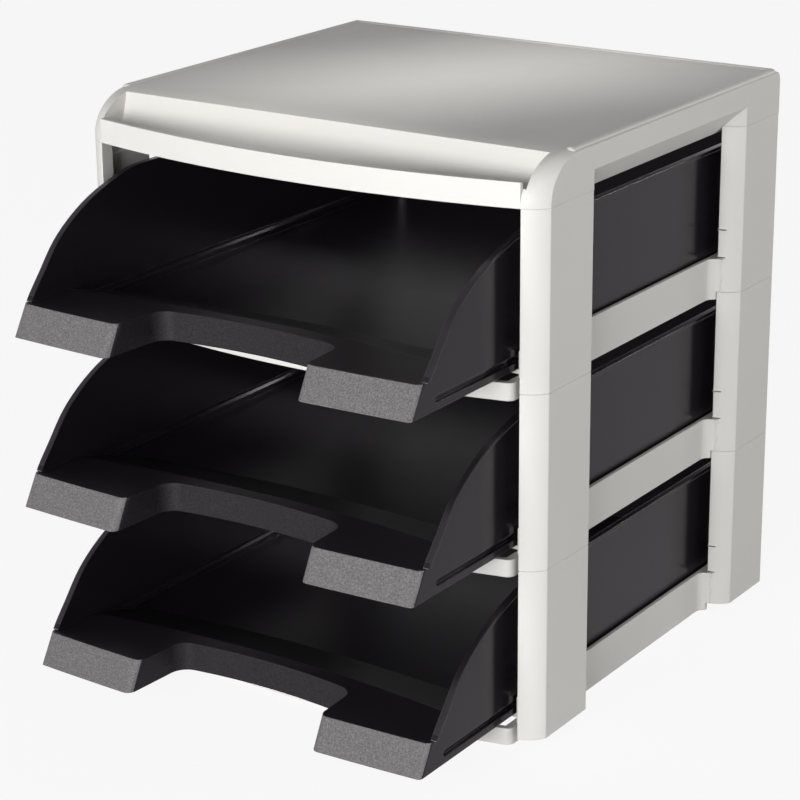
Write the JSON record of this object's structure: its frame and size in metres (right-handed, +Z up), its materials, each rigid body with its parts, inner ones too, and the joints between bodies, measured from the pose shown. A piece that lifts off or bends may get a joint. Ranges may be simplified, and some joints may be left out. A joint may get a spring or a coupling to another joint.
{
  "type": "letter tray stack",
  "caption": "Desktop letter tray stack: plastic frame levels joined by cross rails, trays that slide out on side runners, and a top cover with a pen trough.",
  "frame": {"origin": "centre of the bottom of the bounding box, on the surface that the stack stands on", "axes": "+Z up, -Y towards the front where the trays pull out, +X to the right seen from the front"},
  "size_m": [0.285, 0.3578, 0.311],
  "materials": {
    "frame_plastic": "satin, faintly grained light grey",
    "tray_plastic": "near-black, glossy inside and out, finely grained on the front faces and the cut-out"
  },
  "bodies": {
    "frame": {"bottom_frame_right": "frame_plastic", "bottom_frame_left": "frame_plastic", "bottom_rail_front": "frame_plastic", "bottom_rail_rear": "frame_plastic", "middle_frame_right": "frame_plastic", "middle_frame_left": "frame_plastic", "middle_rail_front": "frame_plastic", "middle_rail_rear": "frame_plastic", "top_frame_right": "frame_plastic", "top_frame_left": "frame_plastic", "top_rail_front": "frame_plastic", "top_rail_rear": "frame_plastic", "top_cover": "frame_plastic"},
    "bottom_tray_body": {"bottom_tray": "tray_plastic"},
    "middle_tray_body": {"middle_tray": "tray_plastic"},
    "top_tray_body": {"top_tray": "tray_plastic"}
  },
  "joints": [
    {"name": "bottom_tray_slide", "type": "slide", "parent": "frame", "child": "bottom_tray_body", "axis": [0, -1, 0], "range_m": [0, 0.2]},
    {"name": "middle_tray_slide", "type": "slide", "parent": "frame", "child": "middle_tray_body", "axis": [0, -1, 0], "range_m": [-0.0057, 0.2]},
    {"name": "top_tray_slide", "type": "slide", "parent": "frame", "child": "top_tray_body", "axis": [0, -1, 0], "range_m": [-0.0057, 0.2]}
  ]
}
